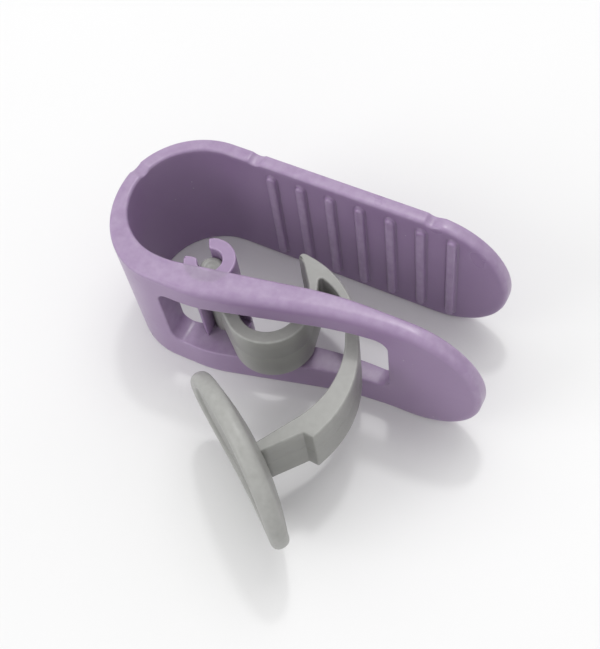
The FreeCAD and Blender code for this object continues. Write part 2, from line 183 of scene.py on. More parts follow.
# Rounding of the top rim on the outer and inner side, at places along the clip.
RIM_KNOTS = np.array([
    -REAR_REACH, -37, 0, BOW_RUN, BOW_RUN + 6, BOW_RUN + 14, BOW_RUN + 40, BOW_RUN + FRONT_REACH])
RIM_OUTER = (0.6, 0.3, 0.3, 0.5, 0.9, 1.7, 1.5, 0.8)
RIM_INNER = (0.95, 0.6, 0.5, 0.45, 0.5, 0.6, 0.8, 1.1)
RIM_FOOT = 0.4                                # rounding of the edge that rests on the table
NOTCHES = (-36.05, -5.05, BOW_RUN * 0.435)   # gate marks across the top rim
NOTCH_HALF, NOTCH_DEPTH = 1.2, 0.5
WINDOW_EDGE = 0.3
WINDOW_FAR = 9.0                      # distance to the window given to points that it doesn't round
WINDOW_NEAR = (0, 0.02, 0.07, 0.15, 0.3, 0.5)
WINDOW_OUTWARD = (0.15, 0.32, 0.5, 0.67, 0.84, 1.0)
BOW_LEAD = 3                          # the window's block starts this far back on the bow
FOOT_HIGH = 3                         # below this the rim's rounding is the foot's
HIGHLIGHT_WEAR_RIM, HIGHLIGHT_WEAR_WINDOW = 1.1, 0.5      # how far the pale edge, a painted highlight with wear, reaches from the rim and from the window's edge
WELD_SCALE, WELD_SHIFT = 1000, 0.137
CORNER_STEPS = 12                     # points along each eighth of a turn at the half-round tips


def rim_depths():
    """Distances from the rim of the rows in the rim strip, closer together towards the rim."""
    return RIM_BAND * (1 - np.cos(np.linspace(0, pi / 2, RIM_STEPS)))


def rear_columns():
    """Columns along the rear arm and bow: even steps, finer at the gate marks."""
    coarse = np.concatenate([
        np.linspace(-(REAR_REACH - TIP_RADIUS), 0, 32, endpoint=False),
        np.linspace(0, BOW_RUN - BOW_LEAD, 60)])
    fine = np.concatenate([mark + np.linspace(-1.4, 1.4, 15) for mark in NOTCHES])
    keep = np.all(np.abs(coarse[:, None] - np.array(NOTCHES)) > 1.6, axis=1)
    return np.unique(np.concatenate([coarse[keep], coarse[:1], coarse[-1:], fine[fine > coarse[0] + 0.1]]))


def window_loop(count_long, count_high):
    """Outline of the window, started at the middle of its lower left corner: rounded corners joined by
    straight sides. Returns points and outward directions (away from the hole)."""
    turn = np.linspace(0, pi / 4, 6)
    parts, ways = [], []
    low_x, high_x = WINDOW_X
    low_z, high_z = WINDOW_Z
    r = WINDOW_CORNER
    sides = [
        ((low_x + r, low_z + r), (high_x - r, low_z + r), -pi / 2, count_long),
        ((high_x - r, low_z + r), (high_x - r, high_z - r), 0.0, count_high),
        ((high_x - r, high_z - r), (low_x + r, high_z - r), pi / 2, count_long),
        ((low_x + r, high_z - r), (low_x + r, low_z + r), pi, count_high),
    ]
    for start, end, facing, count in sides:
        straight = np.linspace(0, 1, count - 10)[1:-1]
        out = np.concatenate([facing - pi / 4 + turn, np.full(len(straight), facing), facing + turn])[:-1]
        share = np.concatenate([np.zeros(6), straight, np.ones(6)])[:-1]
        centre = np.array(start) + np.outer(share, np.array(end) - np.array(start))
        way = np.stack([np.cos(out), np.sin(out)], -1)
        parts.append(centre + r * way)
        ways.append(way)
    return np.concatenate(parts), np.concatenate(ways)


def clip_sheet():
    """The clip's wall unrolled flat: blocks of (q, z, distance to rim, distance to window) that share their
    borders, joined into one sheet with a hole for the window."""
    depths = rim_depths()
    rows = np.linspace(RIM_BAND, CLIP_HIGH - RIM_BAND, ROWS)
    left = rear_columns()
    window_start, window_end = BOW_RUN - BOW_LEAD, BOW_RUN + FRONT_REACH - TIP_RADIUS
    right = np.linspace(window_start, window_end, 64)
    columns = np.concatenate([left, right[1:]])
    blocks = []

    def block(q, z, rim, window=WINDOW_FAR):
        q, z, rim, window = np.broadcast_arrays(q, z, rim, window)
        blocks.append(np.stack([q, z, rim, window], -1))

    block(columns[None], depths[:, None], depths[:, None])
    block(columns[None], CLIP_HIGH - depths[:, None], depths[:, None])
    block(left[None], rows[:, None], RIM_BAND)

    # rings from the window's edge out to the rectangle between the rim strips
    hole, away = window_loop(len(right), ROWS)
    frame_points = np.concatenate([
        np.stack([right, np.full(len(right), rows[0])], -1)[:-1],
        np.stack([np.full(ROWS, window_end), rows], -1)[:-1],
        np.stack([right[::-1], np.full(len(right), rows[-1])], -1)[:-1],
        np.stack([np.full(ROWS, window_start), rows[::-1]], -1)[:-1]])
    hole = hole + np.array([BOW_RUN, 0])
    hole = np.concatenate([hole, hole[:1]])
    away = np.concatenate([away, away[:1]])
    frame_points = np.concatenate([frame_points, frame_points[:1]])
    near = np.array(WINDOW_NEAR)
    rings = [hole + away * step for step in near]
    last = rings[-1]
    rings += [last + (frame_points - last) * share for share in WINDOW_OUTWARD]
    rings = np.array(rings)
    window = np.concatenate([near, np.full(len(WINDOW_OUTWARD), WINDOW_FAR)])
    block(rings[..., 0], rings[..., 1], RIM_BAND, window[:, None])

    # half-round tips: a polar strip along the rim, and inside it a patch blended from its four sides
    for centre, way in ((-(REAR_REACH - TIP_RADIUS), -1), (window_end, 1)):
        eighth = np.linspace(0, pi / 4, CORNER_STEPS)
        side = np.arcsin(np.linspace(-1, 1, ROWS) * sin(pi / 4))
        bend = np.concatenate([-pi / 2 + eighth, side[1:-1], pi / 4 + eighth])
        reach = TIP_RADIUS - depths[:, None]
        block(centre + way * reach * np.cos(bend), MID_HIGH + reach * np.sin(bend), depths[:, None])
        inside = TIP_RADIUS - RIM_BAND
        a = np.linspace(0, 1, CORNER_STEPS)[:, None]
        v = np.linspace(0, 1, ROWS)[None]
        low = np.stack([np.sin(eighth), -np.cos(eighth)], -1)[:, None] * inside
        high = low * np.array([1, -1])
        near_side = np.stack([np.zeros(ROWS), np.linspace(-1, 1, ROWS)], -1)[None] * inside
        far_side = np.stack([np.cos(side), np.sin(side)], -1)[None] * inside
        a, v = a[..., None], v[..., None]
        corners = ((1 - a) * (1 - v) * near_side[:, :1] + a * (1 - v) * far_side[:, :1]
                   + (1 - a) * v * near_side[:, -1:] + a * v * far_side[:, -1:])
        patch = (1 - a) * near_side + a * far_side + (1 - v) * low + v * high - corners
        block(centre + way * patch[..., 0], MID_HIGH + patch[..., 1], RIM_BAND)

    faces, count = [], 0
    for grid in blocks:
        faces.append(grid_faces(*grid.shape[:2]) + count)
        count += grid.shape[0] * grid.shape[1]
    flat = np.concatenate([grid.reshape(-1, 4) for grid in blocks])
    faces = np.concatenate(faces)
    # points of neighbouring blocks are one point if they agree to a thousandth; the shift keeps none of
    # them on the border between two roundings
    keys = np.round(flat[:, :2] * WELD_SCALE + WELD_SHIFT).astype(np.int64)
    _, first, same = np.unique(keys, axis=0, return_index=True, return_inverse=True)
    flat, faces = flat[first], same.reshape(-1)[faces]
    corner = flat[faces][..., :2]
    after = np.roll(corner, -1, axis=1)
    area = (corner[..., 0] * after[..., 1] - corner[..., 1] * after[..., 0]).sum(1)
    faces[area < 0] = faces[area < 0][:, ::-1]
    return flat, faces


def border_edges(faces):
    """Directed edges that belong to one face only: the rim and the window's edge."""
    edges = np.stack([faces, np.roll(faces, -1, axis=1)], -1).reshape(-1, 2)
    named = np.sort(edges, axis=1)
    _, back, counts = np.unique(named, axis=0, return_inverse=True, return_counts=True)
    return edges[counts[back.reshape(-1)] == 1]


def clip_wall():
    """The clip's shell: the flat sheet laid on the outer and the inner face, both drawn in towards each
    other near the rim and the window so that the edges are round, and joined there by a narrow band."""
    flat, faces = clip_sheet()
    q, z, rim, window = flat.T
    inner, outer = both_sides(q)
    across = inner - outer
    across /= np.linalg.norm(across, axis=1)[:, None]
    upper = np.clip((z - FOOT_HIGH) / (CLIP_HIGH - 2 * FOOT_HIGH), 0, 1)
    outer_round = RIM_FOOT + (np.interp(q, RIM_KNOTS, RIM_OUTER) - RIM_FOOT) * upper
    inner_round = RIM_FOOT + (np.interp(q, RIM_KNOTS, RIM_INNER) - RIM_FOOT) * upper
    draw_outer = quarter_round(rim, outer_round) + quarter_round(window, WINDOW_EDGE)
    draw_inner = quarter_round(rim, inner_round) + quarter_round(window, WINDOW_EDGE)
    fade = np.clip(1 - (CLIP_HIGH - z) / RIM_BAND, 0, 1) ** 2
    dent = sum(np.clip(1 - ((q - mark) / NOTCH_HALF) ** 2, 0, 1) for mark in NOTCHES)
    level = z - NOTCH_DEPTH * dent * fade
    outer_points = np.column_stack([outer + across * draw_outer[:, None], level])
    inner_points = np.column_stack([inner - across * draw_inner[:, None], level])
    count = len(flat)
    rims = border_edges(faces)
    band = np.stack([rims[:, 1], rims[:, 0], rims[:, 0] + count, rims[:, 1] + count], -1)
    everything = np.concatenate([faces, faces[:, ::-1] + count, band]).tolist()
    # the edge mask pales the rim and the window's edge in the material: painted highlight, with wear
    mask = np.clip(np.maximum(1 - rim / HIGHLIGHT_WEAR_RIM, 1 - window / HIGHLIGHT_WEAR_WINDOW), 0, 1)
    return np.concatenate([outer_points, inner_points]), everything, np.tile(mask, 2)


# ---- shapes drawn from above and carried upwards ----
def around(outline):
    """Outward direction at each corner of a loop that runs anticlockwise, long enough that moving every
    corner by it shifts each side by one."""
    side = np.roll(outline, -1, axis=0) - outline
    side /= np.linalg.norm(side, axis=1)[:, None]
    out = np.stack([side[:, 1], -side[:, 0]], -1)
    before = np.roll(out, 1, axis=0)
    return (out + before) / (1 + (out * before).sum(1))[:, None]


def lid_faces(loop):
    """Triangles that fill a loop seen from above, all facing up."""
    filled = delaunay_2d_cdt([Vector(p) for p in loop], [], [list(range(len(loop)))], 1, 1e-7)
    corners = [int(np.argmin(np.linalg.norm(loop - np.array(place), axis=1))) for place in filled[0]]
    triangles = np.array([[corners[corner] for corner in face] for face in filled[2]])
    a, b, c = (loop[triangles[:, index]] for index in range(3))
    area = (b[:, 0] - a[:, 0]) * (c[:, 1] - a[:, 1]) - (b[:, 1] - a[:, 1]) * (c[:, 0] - a[:, 0])
    triangles[area < 0] = triangles[area < 0][:, ::-1]
    return triangles


def prism(outline, profile):
    """A closed shape from above carried up a side profile. Each step of the profile is how far the outline
    draws in, its height and how near it is to an edge; flat lids close both ends."""
    inset, high, mask = np.array(profile).T
    out = around(outline)
    count = len(outline)
    rings = outline[None] - inset[:, None, None] * out[None]
    level = np.broadcast_to(high[:, None, None], (len(high), count, 1))
    points = np.concatenate([rings, level], -1).reshape(-1, 3)
    lid = lid_faces(rings[-1])
    faces = grid_faces(len(high), count, ring=True).tolist()
    faces += (lid_faces(rings[0])[:, ::-1]).tolist() + (lid + (len(high) - 1) * count).tolist()
    return points, faces, np.repeat(mask, count)


def rounded_profile(low, high, radius, middle=None, draft=0.0, steps=6, line=0.0):
    """Side profile with a quarter round at both ends, sides that draw in by the draft towards the ends, and
    a fine groove along the middle where the mould halves met."""
    turn = np.linspace(0, pi / 2, steps)
    # the third value of each step is the edge mask: it pales the rounded edges and the mould line as painted
    # highlight, with wear
    lower = [(draft + radius * (1 - sin(t)), low + radius * (1 - cos(t)), 1 - t / pi) for t in turn]
    upper = [(inset, low + high - level, mask) for inset, level, mask in reversed(lower)]
    support = (draft + radius + 0.07, 0.4)
    body = [(draft * 0.6, low + (high - low) * 0.2, 0.0)]
    if middle is not None:
        body += [(0.0, middle - 0.16, 0.1), (line, middle, 0.4), (0.0, middle + 0.16, 0.1)]
    body += [(draft * 0.6, low + (high - low) * 0.8, 0.0)]
    return [(support[0], low, support[1])] + lower + body + upper + [(support[0], high, support[1])]


def rounded_loop(corners, step=0.45):
    """A closed outline from (x, y, radius) corners: each corner is cut by an arc of its radius, or of the
    largest that its two sides have room for, tangent to both, and long sides are divided into short ones."""
    points = np.array([corner[:2] for corner in corners], float)
    radii = np.array([corner[2] for corner in corners], float)
    side = np.roll(points, -1, axis=0) - points
    length = np.linalg.norm(side, axis=1)
    on = side / length[:, None]
    back = -np.roll(on, 1, axis=0)
    half = np.arccos(np.clip((back * on).sum(1), -1, 1)) / 2
    cut = radii / np.tan(half)
    room = np.minimum(1, 0.98 * length / np.maximum(cut + np.roll(cut, -1), 1e-9))
    radii = radii * np.minimum(room, np.roll(room, 1))
    loop = []
    for here, out, away, angle, radius in zip(points, on, back, half, radii):
        if radius <= 0 or angle > pi / 2 - 0.01:
            loop.append(here)
            continue
        middle = here + (away + out) / np.linalg.norm(away + out) * radius / sin(angle)
        first = here + away * radius / tan(angle) - middle
        turn = pi - 2 * angle
        way = np.sign(first[1] * away[0] - first[0] * away[1])
        count = max(4, int(turn * radius / step) + 3)
        bend = np.linspace(0, turn, count) * way
        loop += list(middle + np.stack([
            first[0] * np.cos(bend) - first[1] * np.sin(bend),
            first[0] * np.sin(bend) + first[1] * np.cos(bend)], -1))
    loop = np.array(loop)
    full = []
    for start, end in zip(loop, np.roll(loop, -1, axis=0)):
        parts = max(1, int(np.linalg.norm(end - start) / 1.2))
        full += [start + (end - start) * share / parts for share in range(parts)]
    return np.array(full)


def arc(centre, radius, start, end, count):
    """Points of a circle's arc as corners with no rounding; angles in degrees."""
    turn = np.radians(np.linspace(start, end, count))
    return [(centre[0] + radius * cos(t), centre[1] + radius * sin(t), 0) for t in turn]


# ---- clip details ----
RIB_FIRST, RIB_PITCH, RIB_COUNT = 8.05, 5.29, 7
RIB_HALF_WIDTH, RIB_HALF_LENGTH = 0.78, 10.6
RIB_SIDE = (                          # how far the side draws in, and how high it stands there
    (-0.30, -0.25), (-0.30, 0.0), (-0.14, 0.05), (-0.04, 0.15), (0.0, 0.30), (0.02, 0.46),
    (0.08, 0.58), (0.18, 0.67), (0.32, 0.735), (0.50, 0.77), (0.70, 0.78))


def grip_rib(x):
    """One upright grip rib on the rear arm: a stadium whose side flares where it meets the wall and whose
    crown is rounded right across."""
    straight = RIB_HALF_LENGTH - RIB_HALF_WIDTH
    bend = np.linspace(0, pi, 13)
    lengthwise = np.linspace(straight, -straight, 12)[1:-1]
    outline = np.concatenate([
        np.stack([RIB_HALF_WIDTH * np.cos(bend), straight + RIB_HALF_WIDTH * np.sin(bend)], -1),
        np.stack([np.full(10, -RIB_HALF_WIDTH), lengthwise], -1),
        np.stack([-RIB_HALF_WIDTH * np.cos(bend), -straight - RIB_HALF_WIDTH * np.sin(bend)], -1),
        np.stack([np.full(10, RIB_HALF_WIDTH), -lengthwise], -1)])
    # the mask pales the rib's crown in the material: a painted highlight where light catches it, with wear
    profile = [(inset, stand, max(0, stand - 0.3) * 2) for inset, stand in RIB_SIDE]
    points, faces, mask = prism(outline, profile)
    # the stadium's plane becomes the arm's inner face: its x runs along -X, its height towards -Y
    turned = np.column_stack([x - points[:, 0], -REAR_WALL / 2 - points[:, 2], MID_HIGH + points[:, 1]])
    return turned, faces, mask


BORE, SOCKET = 2.0, 4.1
MOUTH = (121, 191)
SLOT_SIDE = 1.475
SOCKET_INSIDE = 0.03                  # the layers stop short of the arm's faces, so none lie in one plane
SOCKET_LAP = 0.6                      # and the jaw and strut run on into the full layers
SOCKET_ROUND = 0.22


def lip_end(x, y, angle, half):
    """Blunt rounded end of the C's jaw at an angle: a corner on each side of its middle line."""
    t = radians(angle)
    along = np.array([cos(t), sin(t)])
    middle = (BORE + SOCKET) / 2
    outer, inner = along * (middle + half), along * (middle - half)
    pair = [(x + outer[0], y + outer[1], 0.55), (x + inner[0], y + inner[1], 0.55)]
    return pair if angle > 300 or angle == MOUTH[0] else pair[::-1]


def socket_shells():
    """The C that the hinge pin snaps into: a full C above and below the window, and in the window's height
    a jaw and a rear strut, parted for the lever's link."""
    x, y = HINGE[0], HINGE[1]
    start, end = MOUTH[1], MOUTH[0] + 360
    jaw = (SOCKET - BORE) / 2
    full = (arc((x, y), SOCKET, start + 6, end - 6, 60) + lip_end(x, y, end, jaw)
            + arc((x, y), BORE, end - 14, start + 14, 44) + lip_end(x, y, start, jaw))
    left_out = degrees(np.arccos(-SLOT_SIDE / SOCKET))
    left_in = degrees(np.arccos(-SLOT_SIDE / BORE))
    left = (arc((x, y), SOCKET, start + 6, 360 - left_out, 14)
            + arc((x, y), BORE, 360 - left_in, start + 14, 8) + lip_end(x, y, start, jaw))
    rear_out = degrees(np.arcsin(SLOT_SIDE / SOCKET))
    rear_in = degrees(np.arcsin(SLOT_SIDE / BORE))
    rear = (arc((x, y), SOCKET, rear_out, MOUTH[0] - 6, 24) + lip_end(x, y, MOUTH[0], jaw)
            + arc((x, y), BORE, MOUTH[0] - 14, rear_in, 14))
    shells = []
    sill, head = WINDOW_Z
    layers = (
        (full, SOCKET_INSIDE, sill - SOCKET_INSIDE), (full, head + SOCKET_INSIDE, CLIP_HIGH - SOCKET_INSIDE),
        (left, sill - SOCKET_LAP, head + SOCKET_LAP), (rear, sill - SOCKET_LAP, head + SOCKET_LAP))
    for outline, low, high in layers:
        loop = rounded_loop(outline)
        shells.append(prism(loop, rounded_profile(low, high, SOCKET_ROUND, steps=4)))
    return shells


# ---- lever ----
LINK_HALF = 2.35 / 2
LOOP_AHEAD, LOOP_BORE, LOOP_OUTER = 9.3, 4.75, 7.1
LIP = (31.35, -33.8)
NOTCH = (29.9, -35.5)
STRIP_CORNERS = [
    (15.2, 5.66, 3.0), (14.3, 7.95, 0.4), (20.6, 5.94, 11.0), (22.44, 0.36, 6.0), (26.57, -8.16, 15.5),
    (18.27, -21.84, 0), (19.9, -22.72, 0), NOTCH, LIP, (29.5, -7.65, 18.5), (24.47, 1.07, 6.0),
    (19.99, 9.47, 17.0), (9.1, 11.25, 0.8), (9.6, 9.9, 0), (10.9, 9.1, 1.0), (13.9, 5.2, 3.0)]


def lever_outline():
    """The lever's strip from above, measured from the hinge: out along the link, round the open loop's
    outer side, along the claw and arm to the stem, back over the arm and claw, and round the loop inside."""
    dip = np.arcsin((LOOP_BORE + LINK_HALF) / LOOP_AHEAD)
    out = np.array([-sin(dip), -cos(dip)]) * LINK_HALF
    corners = [(out[0], out[1], 0)]
    corners += arc((LOOP_AHEAD, 0), LOOP_OUTER, -90 - degrees(dip), 0, 40)
    for corner in STRIP_CORNERS:
        if len(corner) == 2:
            reach, angle = corner
            round_off = 0.35 if corner == LIP else 0.15
            corner = (reach * cos(radians(angle)), reach * sin(radians(angle)), round_off)
        corners.append(corner)
    corners += arc((LOOP_AHEAD, 0), LOOP_BORE, 0, -90 - degrees(dip), 30)
    corners.append((-out[0], -out[1], 0))
    return rounded_loop(corners) + HINGE[:2]


STRIP_LOW, STRIP_HIGH = 7.15, 17.8
STRIP_ROUND, STRIP_DRAFT, STRIP_LINE = 0.3, 0.07, 0.05


def lever_strip():
    """The strip carried up between its two levels, with a fine line where the mould halves met."""
    profile = rounded_profile(STRIP_LOW, STRIP_HIGH, STRIP_ROUND, middle=HINGE[2], draft=STRIP_DRAFT,
                              line=STRIP_LINE)
    return prism(lever_outline(), profile)


PIN_SIDES = 48


def hinge_pin():
    """Round pin turned about the hinge: a dished end, a chamfer and a straight side, mirrored below."""
    low, high = LEVER_LOW[2], LEVER_HIGH[2]
    half = (high - low) / 2
    upper = [(1.95, 0.0), (1.95, half - 0.45), (1.88, half - 0.22), (1.72, half - 0.06), (1.5, half),
             (1.1, half), (0.95, half - 0.05), (0.8, half - 0.16), (0.4, half - 0.2), (0.0, half - 0.2)]
    profile = np.array([(r, -level) for r, level in upper[:0:-1]] + upper)
    turn = np.linspace(0, 2 * pi, PIN_SIDES, endpoint=False)
    ring = profile[1:-1]
    points = np.stack([
        HINGE[0] + ring[:, :1] * np.cos(turn), HINGE[1] + ring[:, :1] * np.sin(turn),
        np.broadcast_to((low + half) + ring[:, 1:], (len(ring), PIN_SIDES))], -1).reshape(-1, 3)
    faces = grid_faces(len(ring), PIN_SIDES, ring=True).tolist()
    poles = [[HINGE[0], HINGE[1], low + half + profile[end, 1]] for end in (0, -1)]
    last = (len(ring) - 1) * PIN_SIDES
    top, bottom = len(points) + 1, len(points)
    faces += [[bottom, (i + 1) % PIN_SIDES, i] for i in range(PIN_SIDES)]
    faces += [[top, last + i, last + (i + 1) % PIN_SIDES] for i in range(PIN_SIDES)]
    # the edge mask pales the pin's ends in the material: painted highlight, with wear
    mask = np.concatenate([np.repeat((np.abs(ring[:, 1]) > half - 0.3) * 0.6, PIN_SIDES), [0, 0]])
    return np.concatenate([points, poles]), faces, mask


# ---- thumb pad ----
PAD_LENGTH, PAD_HEIGHT, PAD_WALL, PAD_DISH = 30.2, 24.4, 2.5, 48.0
PAD_AHEAD, PAD_OUT, PAD_TURN = 16.45, -22.55, radians(-36.3)
PAD_EDGE, PAD_RIM = 0.905, 0.3        # share of the oval where the edge's round starts, and the rim's lift
PAD_FACE = (                          # share of the oval, and how far the hollow face is lifted there
    (0.2, 0.0), (0.4, 0.0), (0.55, 0.0), (0.68, 0.0), (0.76, 0.0), (0.80, 0.0), (0.815, -0.10),
    (0.828, -0.16), (0.838, -0.10), (0.845, 0.02), (0.852, 0.16), (0.865, 0.26), (0.88, PAD_RIM),
    (0.90, PAD_RIM))
PAD_BACK = (0.88, 0.82, 0.72, 0.58, 0.4, 0.2)


def thumb_plate():
    """Oval dished plate. Both faces follow balls about one point; a profile from the middle of the hollow
    face over a raised rim and round the edge to the middle of the back is carried round the oval."""
    turn = np.linspace(0, pi, 15)
    count = 128
    angle = np.linspace(0, 2 * pi, count, endpoint=False)
    oval = np.stack([PAD_LENGTH / 2 * np.cos(angle), PAD_HEIGHT / 2 * np.sin(angle)], -1)

    def dish(radius, reach):
        return PAD_WALL - PAD_DISH + np.sqrt(radius ** 2 - reach ** 2)

    rings, masks = [], []
    for share, lift in PAD_FACE:
        spot = oval * share
        reach = np.linalg.norm(spot, axis=1)
        rings.append(np.column_stack([spot, dish(PAD_DISH - PAD_WALL, reach) - lift]))
        # the raised rim's mask pales it in the material: a painted highlight line, with wear
        masks.append(min(1, max(0, lift) * 3))
    spot = oval * PAD_EDGE
    reach = np.linalg.norm(spot, axis=1)
    hollow = dish(PAD_DISH - PAD_WALL, reach) - PAD_RIM
    back = dish(PAD_DISH, reach)
    middle, half = (hollow + back) / 2, (back - hollow) / 2
    outward = oval * (1 - PAD_EDGE)
    for t in turn:
        bulge = sin(t) ** 0.8
        rings.append(np.column_stack([spot + outward * bulge, middle - half * cos(t)]))
        # the rounded edge's mask pales it in the material: painted highlight, with wear
        masks.append(0.55 * sin(t) + 0.25)
    for share in PAD_BACK:
        spot = oval * share
        rings.append(np.column_stack([spot, dish(PAD_DISH, np.linalg.norm(spot, axis=1))]))
        masks.append(0.0)
    points = np.concatenate(rings)
    faces = grid_faces(len(rings), count, ring=True)[:, ::-1].tolist()
    poles = np.array([[0, 0, 0], [0, 0, PAD_WALL]])
    last = (len(rings) - 1) * count
    faces += [[len(points), i, (i + 1) % count] for i in range(count)]
    faces += [[len(points) + 1, last + (i + 1) % count, last + i] for i in range(count)]
    points = np.concatenate([points, poles])
    along, high, thick = points.T
    x = along * cos(PAD_TURN) - thick * sin(PAD_TURN) + HINGE[0] + PAD_AHEAD
    y = along * sin(PAD_TURN) + thick * cos(PAD_TURN) + HINGE[1] + PAD_OUT
    mask = np.concatenate([np.repeat(masks, count), [0, 0]])
    return np.column_stack([x, y, high + HINGE[2]]), faces, mask


# ---- materials ----
DUST = (0.72, 0.70, 0.68, 1)


def new_group(name, inputs, outputs):
    group = bpy.data.node_groups.new(name, "ShaderNodeTree")
    for label, kind, value in inputs:
        socket = group.interface.new_socket(label, in_out="INPUT", socket_type=kind)
        if value is not None:
            socket.default_value = value
    for label, kind in outputs:
        group.interface.new_socket(label, in_out="OUTPUT", socket_type=kind)
    return group, group.nodes.new("NodeGroupInput"), group.nodes.new("NodeGroupOutput")


def add_node(tree, kind, settings=None, **values):
    """A node with its settings, and with its inputs set to values or linked to sockets, each named by its
    label or, as i0, i1 and so on, by its number."""
    node = tree.nodes.new("ShaderNode" + kind)
    for key, value in (settings or {}).items():
        setattr(node, key, value)
    for key, value in values.items():
        numbered = key[0] == "i" and key[1:].isdigit()
        socket = node.inputs[int(key[1:]) if numbered else key.replace("_", " ")]
        if isinstance(value, bpy.types.NodeSocket):
            tree.links.new(value, socket)
        else:
            socket.default_value = value
    return node


def moulded_skin():
    """Fine surface of a moulded plastic: slow clouds of colour, an orange-peel height, faint rubbed
    streaks and a few specks of dust."""
    group, given, result = new_group(
        "moulded_skin",
        [("Place", "NodeSocketVector", None), ("Cloud size", "NodeSocketFloat", 70.0),
         ("Peel size", "NodeSocketFloat", 1500.0), ("Streak size", "NodeSocketFloat", 260.0)],
        [("Clouds", "NodeSocketFloat"), ("Peel", "NodeSocketFloat"), ("Streaks", "NodeSocketFloat"),
         ("Dust", "NodeSocketFloat")])
    place = given.outputs["Place"]
    clouds = add_node(group, "TexNoise", Vector=place, Scale=given.outputs["Cloud size"], Detail=3.0)
    peel = add_node(group, "TexNoise", Vector=place, Scale=given.outputs["Peel size"], Detail=2.0)
    stretch = add_node(group, "Mapping", Vector=place, Rotation=(0.5, 0.3, 0.7), Scale=(1.0, 9.0, 5.0))
    streaks = add_node(group, "TexNoise", Vector=stretch.outputs[0], Scale=given.outputs["Streak size"],
                       Detail=4.0, Roughness=0.6)
    rubbed = add_node(group, "MapRange", Value=streaks.outputs[0], i1=0.60, i2=0.74)
    specks = add_node(group, "TexVoronoi", Vector=place, Scale=520.0)
    dots = add_node(group, "MapRange", Value=specks.outputs["Distance"], i1=0.085, i2=0.045)
    chance = add_node(group, "TexNoise", Vector=place, Scale=180.0)
    rare = add_node(group, "MapRange", Value=chance.outputs[0], i1=0.62, i2=0.66)
    dust = add_node(group, "Math", {"operation": "MULTIPLY"}, i0=dots.outputs[0], i1=rare.outputs[0])
    group.links.new(clouds.outputs[0], result.inputs["Clouds"])
    group.links.new(peel.outputs[0], result.inputs["Peel"])
    group.links.new(rubbed.outputs[0], result.inputs["Streaks"])
    group.links.new(dust.outputs[0], result.inputs["Dust"])
    return group


def edge_highlight_and_wear():
    """Pale edges, a painted highlight along rims and crowns with wear: the mesh's own edge mask, broken up
    by a noise.
    """
    group, given, result = new_group(
        "edge_highlight_and_wear",
        [("Place", "NodeSocketVector", None), ("Edge", "NodeSocketFloat", 0.0),
         ("Break up", "NodeSocketFloat", 900.0)],
        [("Highlit_and_worn", "NodeSocketFloat")])
    noise = add_node(group, "TexNoise", Vector=given.outputs["Place"], Scale=given.outputs["Break up"],
                     Detail=3.0)
    patch = add_node(group, "MapRange", Value=noise.outputs[0], i1=0.3, i2=0.7, i3=0.35, i4=1.0)
    highlit_and_worn = add_node(group, "Math", {"operation": "MULTIPLY"}, i0=given.outputs["Edge"], i1=patch.outputs[0])
    group.links.new(highlit_and_worn.outputs[0], result.inputs["Highlit_and_worn"])
    return group


def use_group(tree, group, **values):
    node = tree.nodes.new("ShaderNodeGroup")
    node.node_tree = group
    for key, value in values.items():
        socket = node.inputs[key.replace("_", " ")]
        if isinstance(value, bpy.types.NodeSocket):
            tree.links.new(value, socket)
        else:
            socket.default_value = value
    return node


def blend_colours(tree, share, first, second):
    node = add_node(tree, "Mix", {"data_type": "RGBA"})
    for index, value in ((0, share), (6, first), (7, second)):
        if isinstance(value, bpy.types.NodeSocket):
            tree.links.new(value, node.inputs[index])
        else:
            node.inputs[index].default_value = value
    return node.outputs[2]


def plastic(name, groups, look):
    """A moulded plastic: its colour drifts with the clouds, pales along edges as a painted highlight with
    wear, and carries a little dust; clouds and streaks change its gloss, and the orange peel moves its
    normal."""
    skin, highlight_and_wear = groups
    material = bpy.data.materials.new(name)
    material.use_nodes = True
    tree = material.node_tree
    shader = tree.nodes["Principled BSDF"]
    place = add_node(tree, "TexCoord").outputs["Object"]
    edge = add_node(tree, "Attribute", {"attribute_name": "edge"}).outputs["Fac"]
    surface = use_group(tree, skin, Place=place, Cloud_size=look["cloud_size"], Peel_size=look["peel_size"],
                        Streak_size=look["streak_size"])
    highlit_and_worn = use_group(tree, highlight_and_wear, Place=place, Edge=edge, Break_up=look["break_up"]).outputs[0]
    drift = add_node(tree, "MapRange", Value=surface.outputs["Clouds"], i1=0.35, i2=0.65).outputs[0]
    colour = blend_colours(tree, drift, look["deep"], look["main"])
    pale = add_node(tree, "Math", {"operation": "MULTIPLY"}, i0=highlit_and_worn, i1=look["highlight_and_wear"]).outputs[0]
    colour = blend_colours(tree, pale, colour, look["highlit_and_worn"])
    dusty = add_node(tree, "Math", {"operation": "MULTIPLY"}, i0=surface.outputs["Dust"],
                     i1=look["dust"]).outputs[0]
    colour = blend_colours(tree, dusty, colour, DUST)
    tree.links.new(colour, shader.inputs["Base Color"])
    base, spread = look["rough"]
    gloss = add_node(tree, "MapRange", Value=surface.outputs["Clouds"], i1=0.3, i2=0.7, i3=base - spread,
                     i4=base + spread).outputs[0]
    gloss = add_node(tree, "Math", {"operation": "MULTIPLY_ADD"}, i0=surface.outputs["Streaks"],
                     i1=look["scuff"], i2=gloss).outputs[0]
    tree.links.new(gloss, shader.inputs["Roughness"])
    bump = add_node(tree, "Bump", Height=surface.outputs["Peel"], Strength=look["peel"], Distance=0.0001)
    tree.links.new(bump.outputs[0], shader.inputs["Normal"])
    for key, value in look["sockets"].items():
        shader.inputs[key].default_value = value
    return material


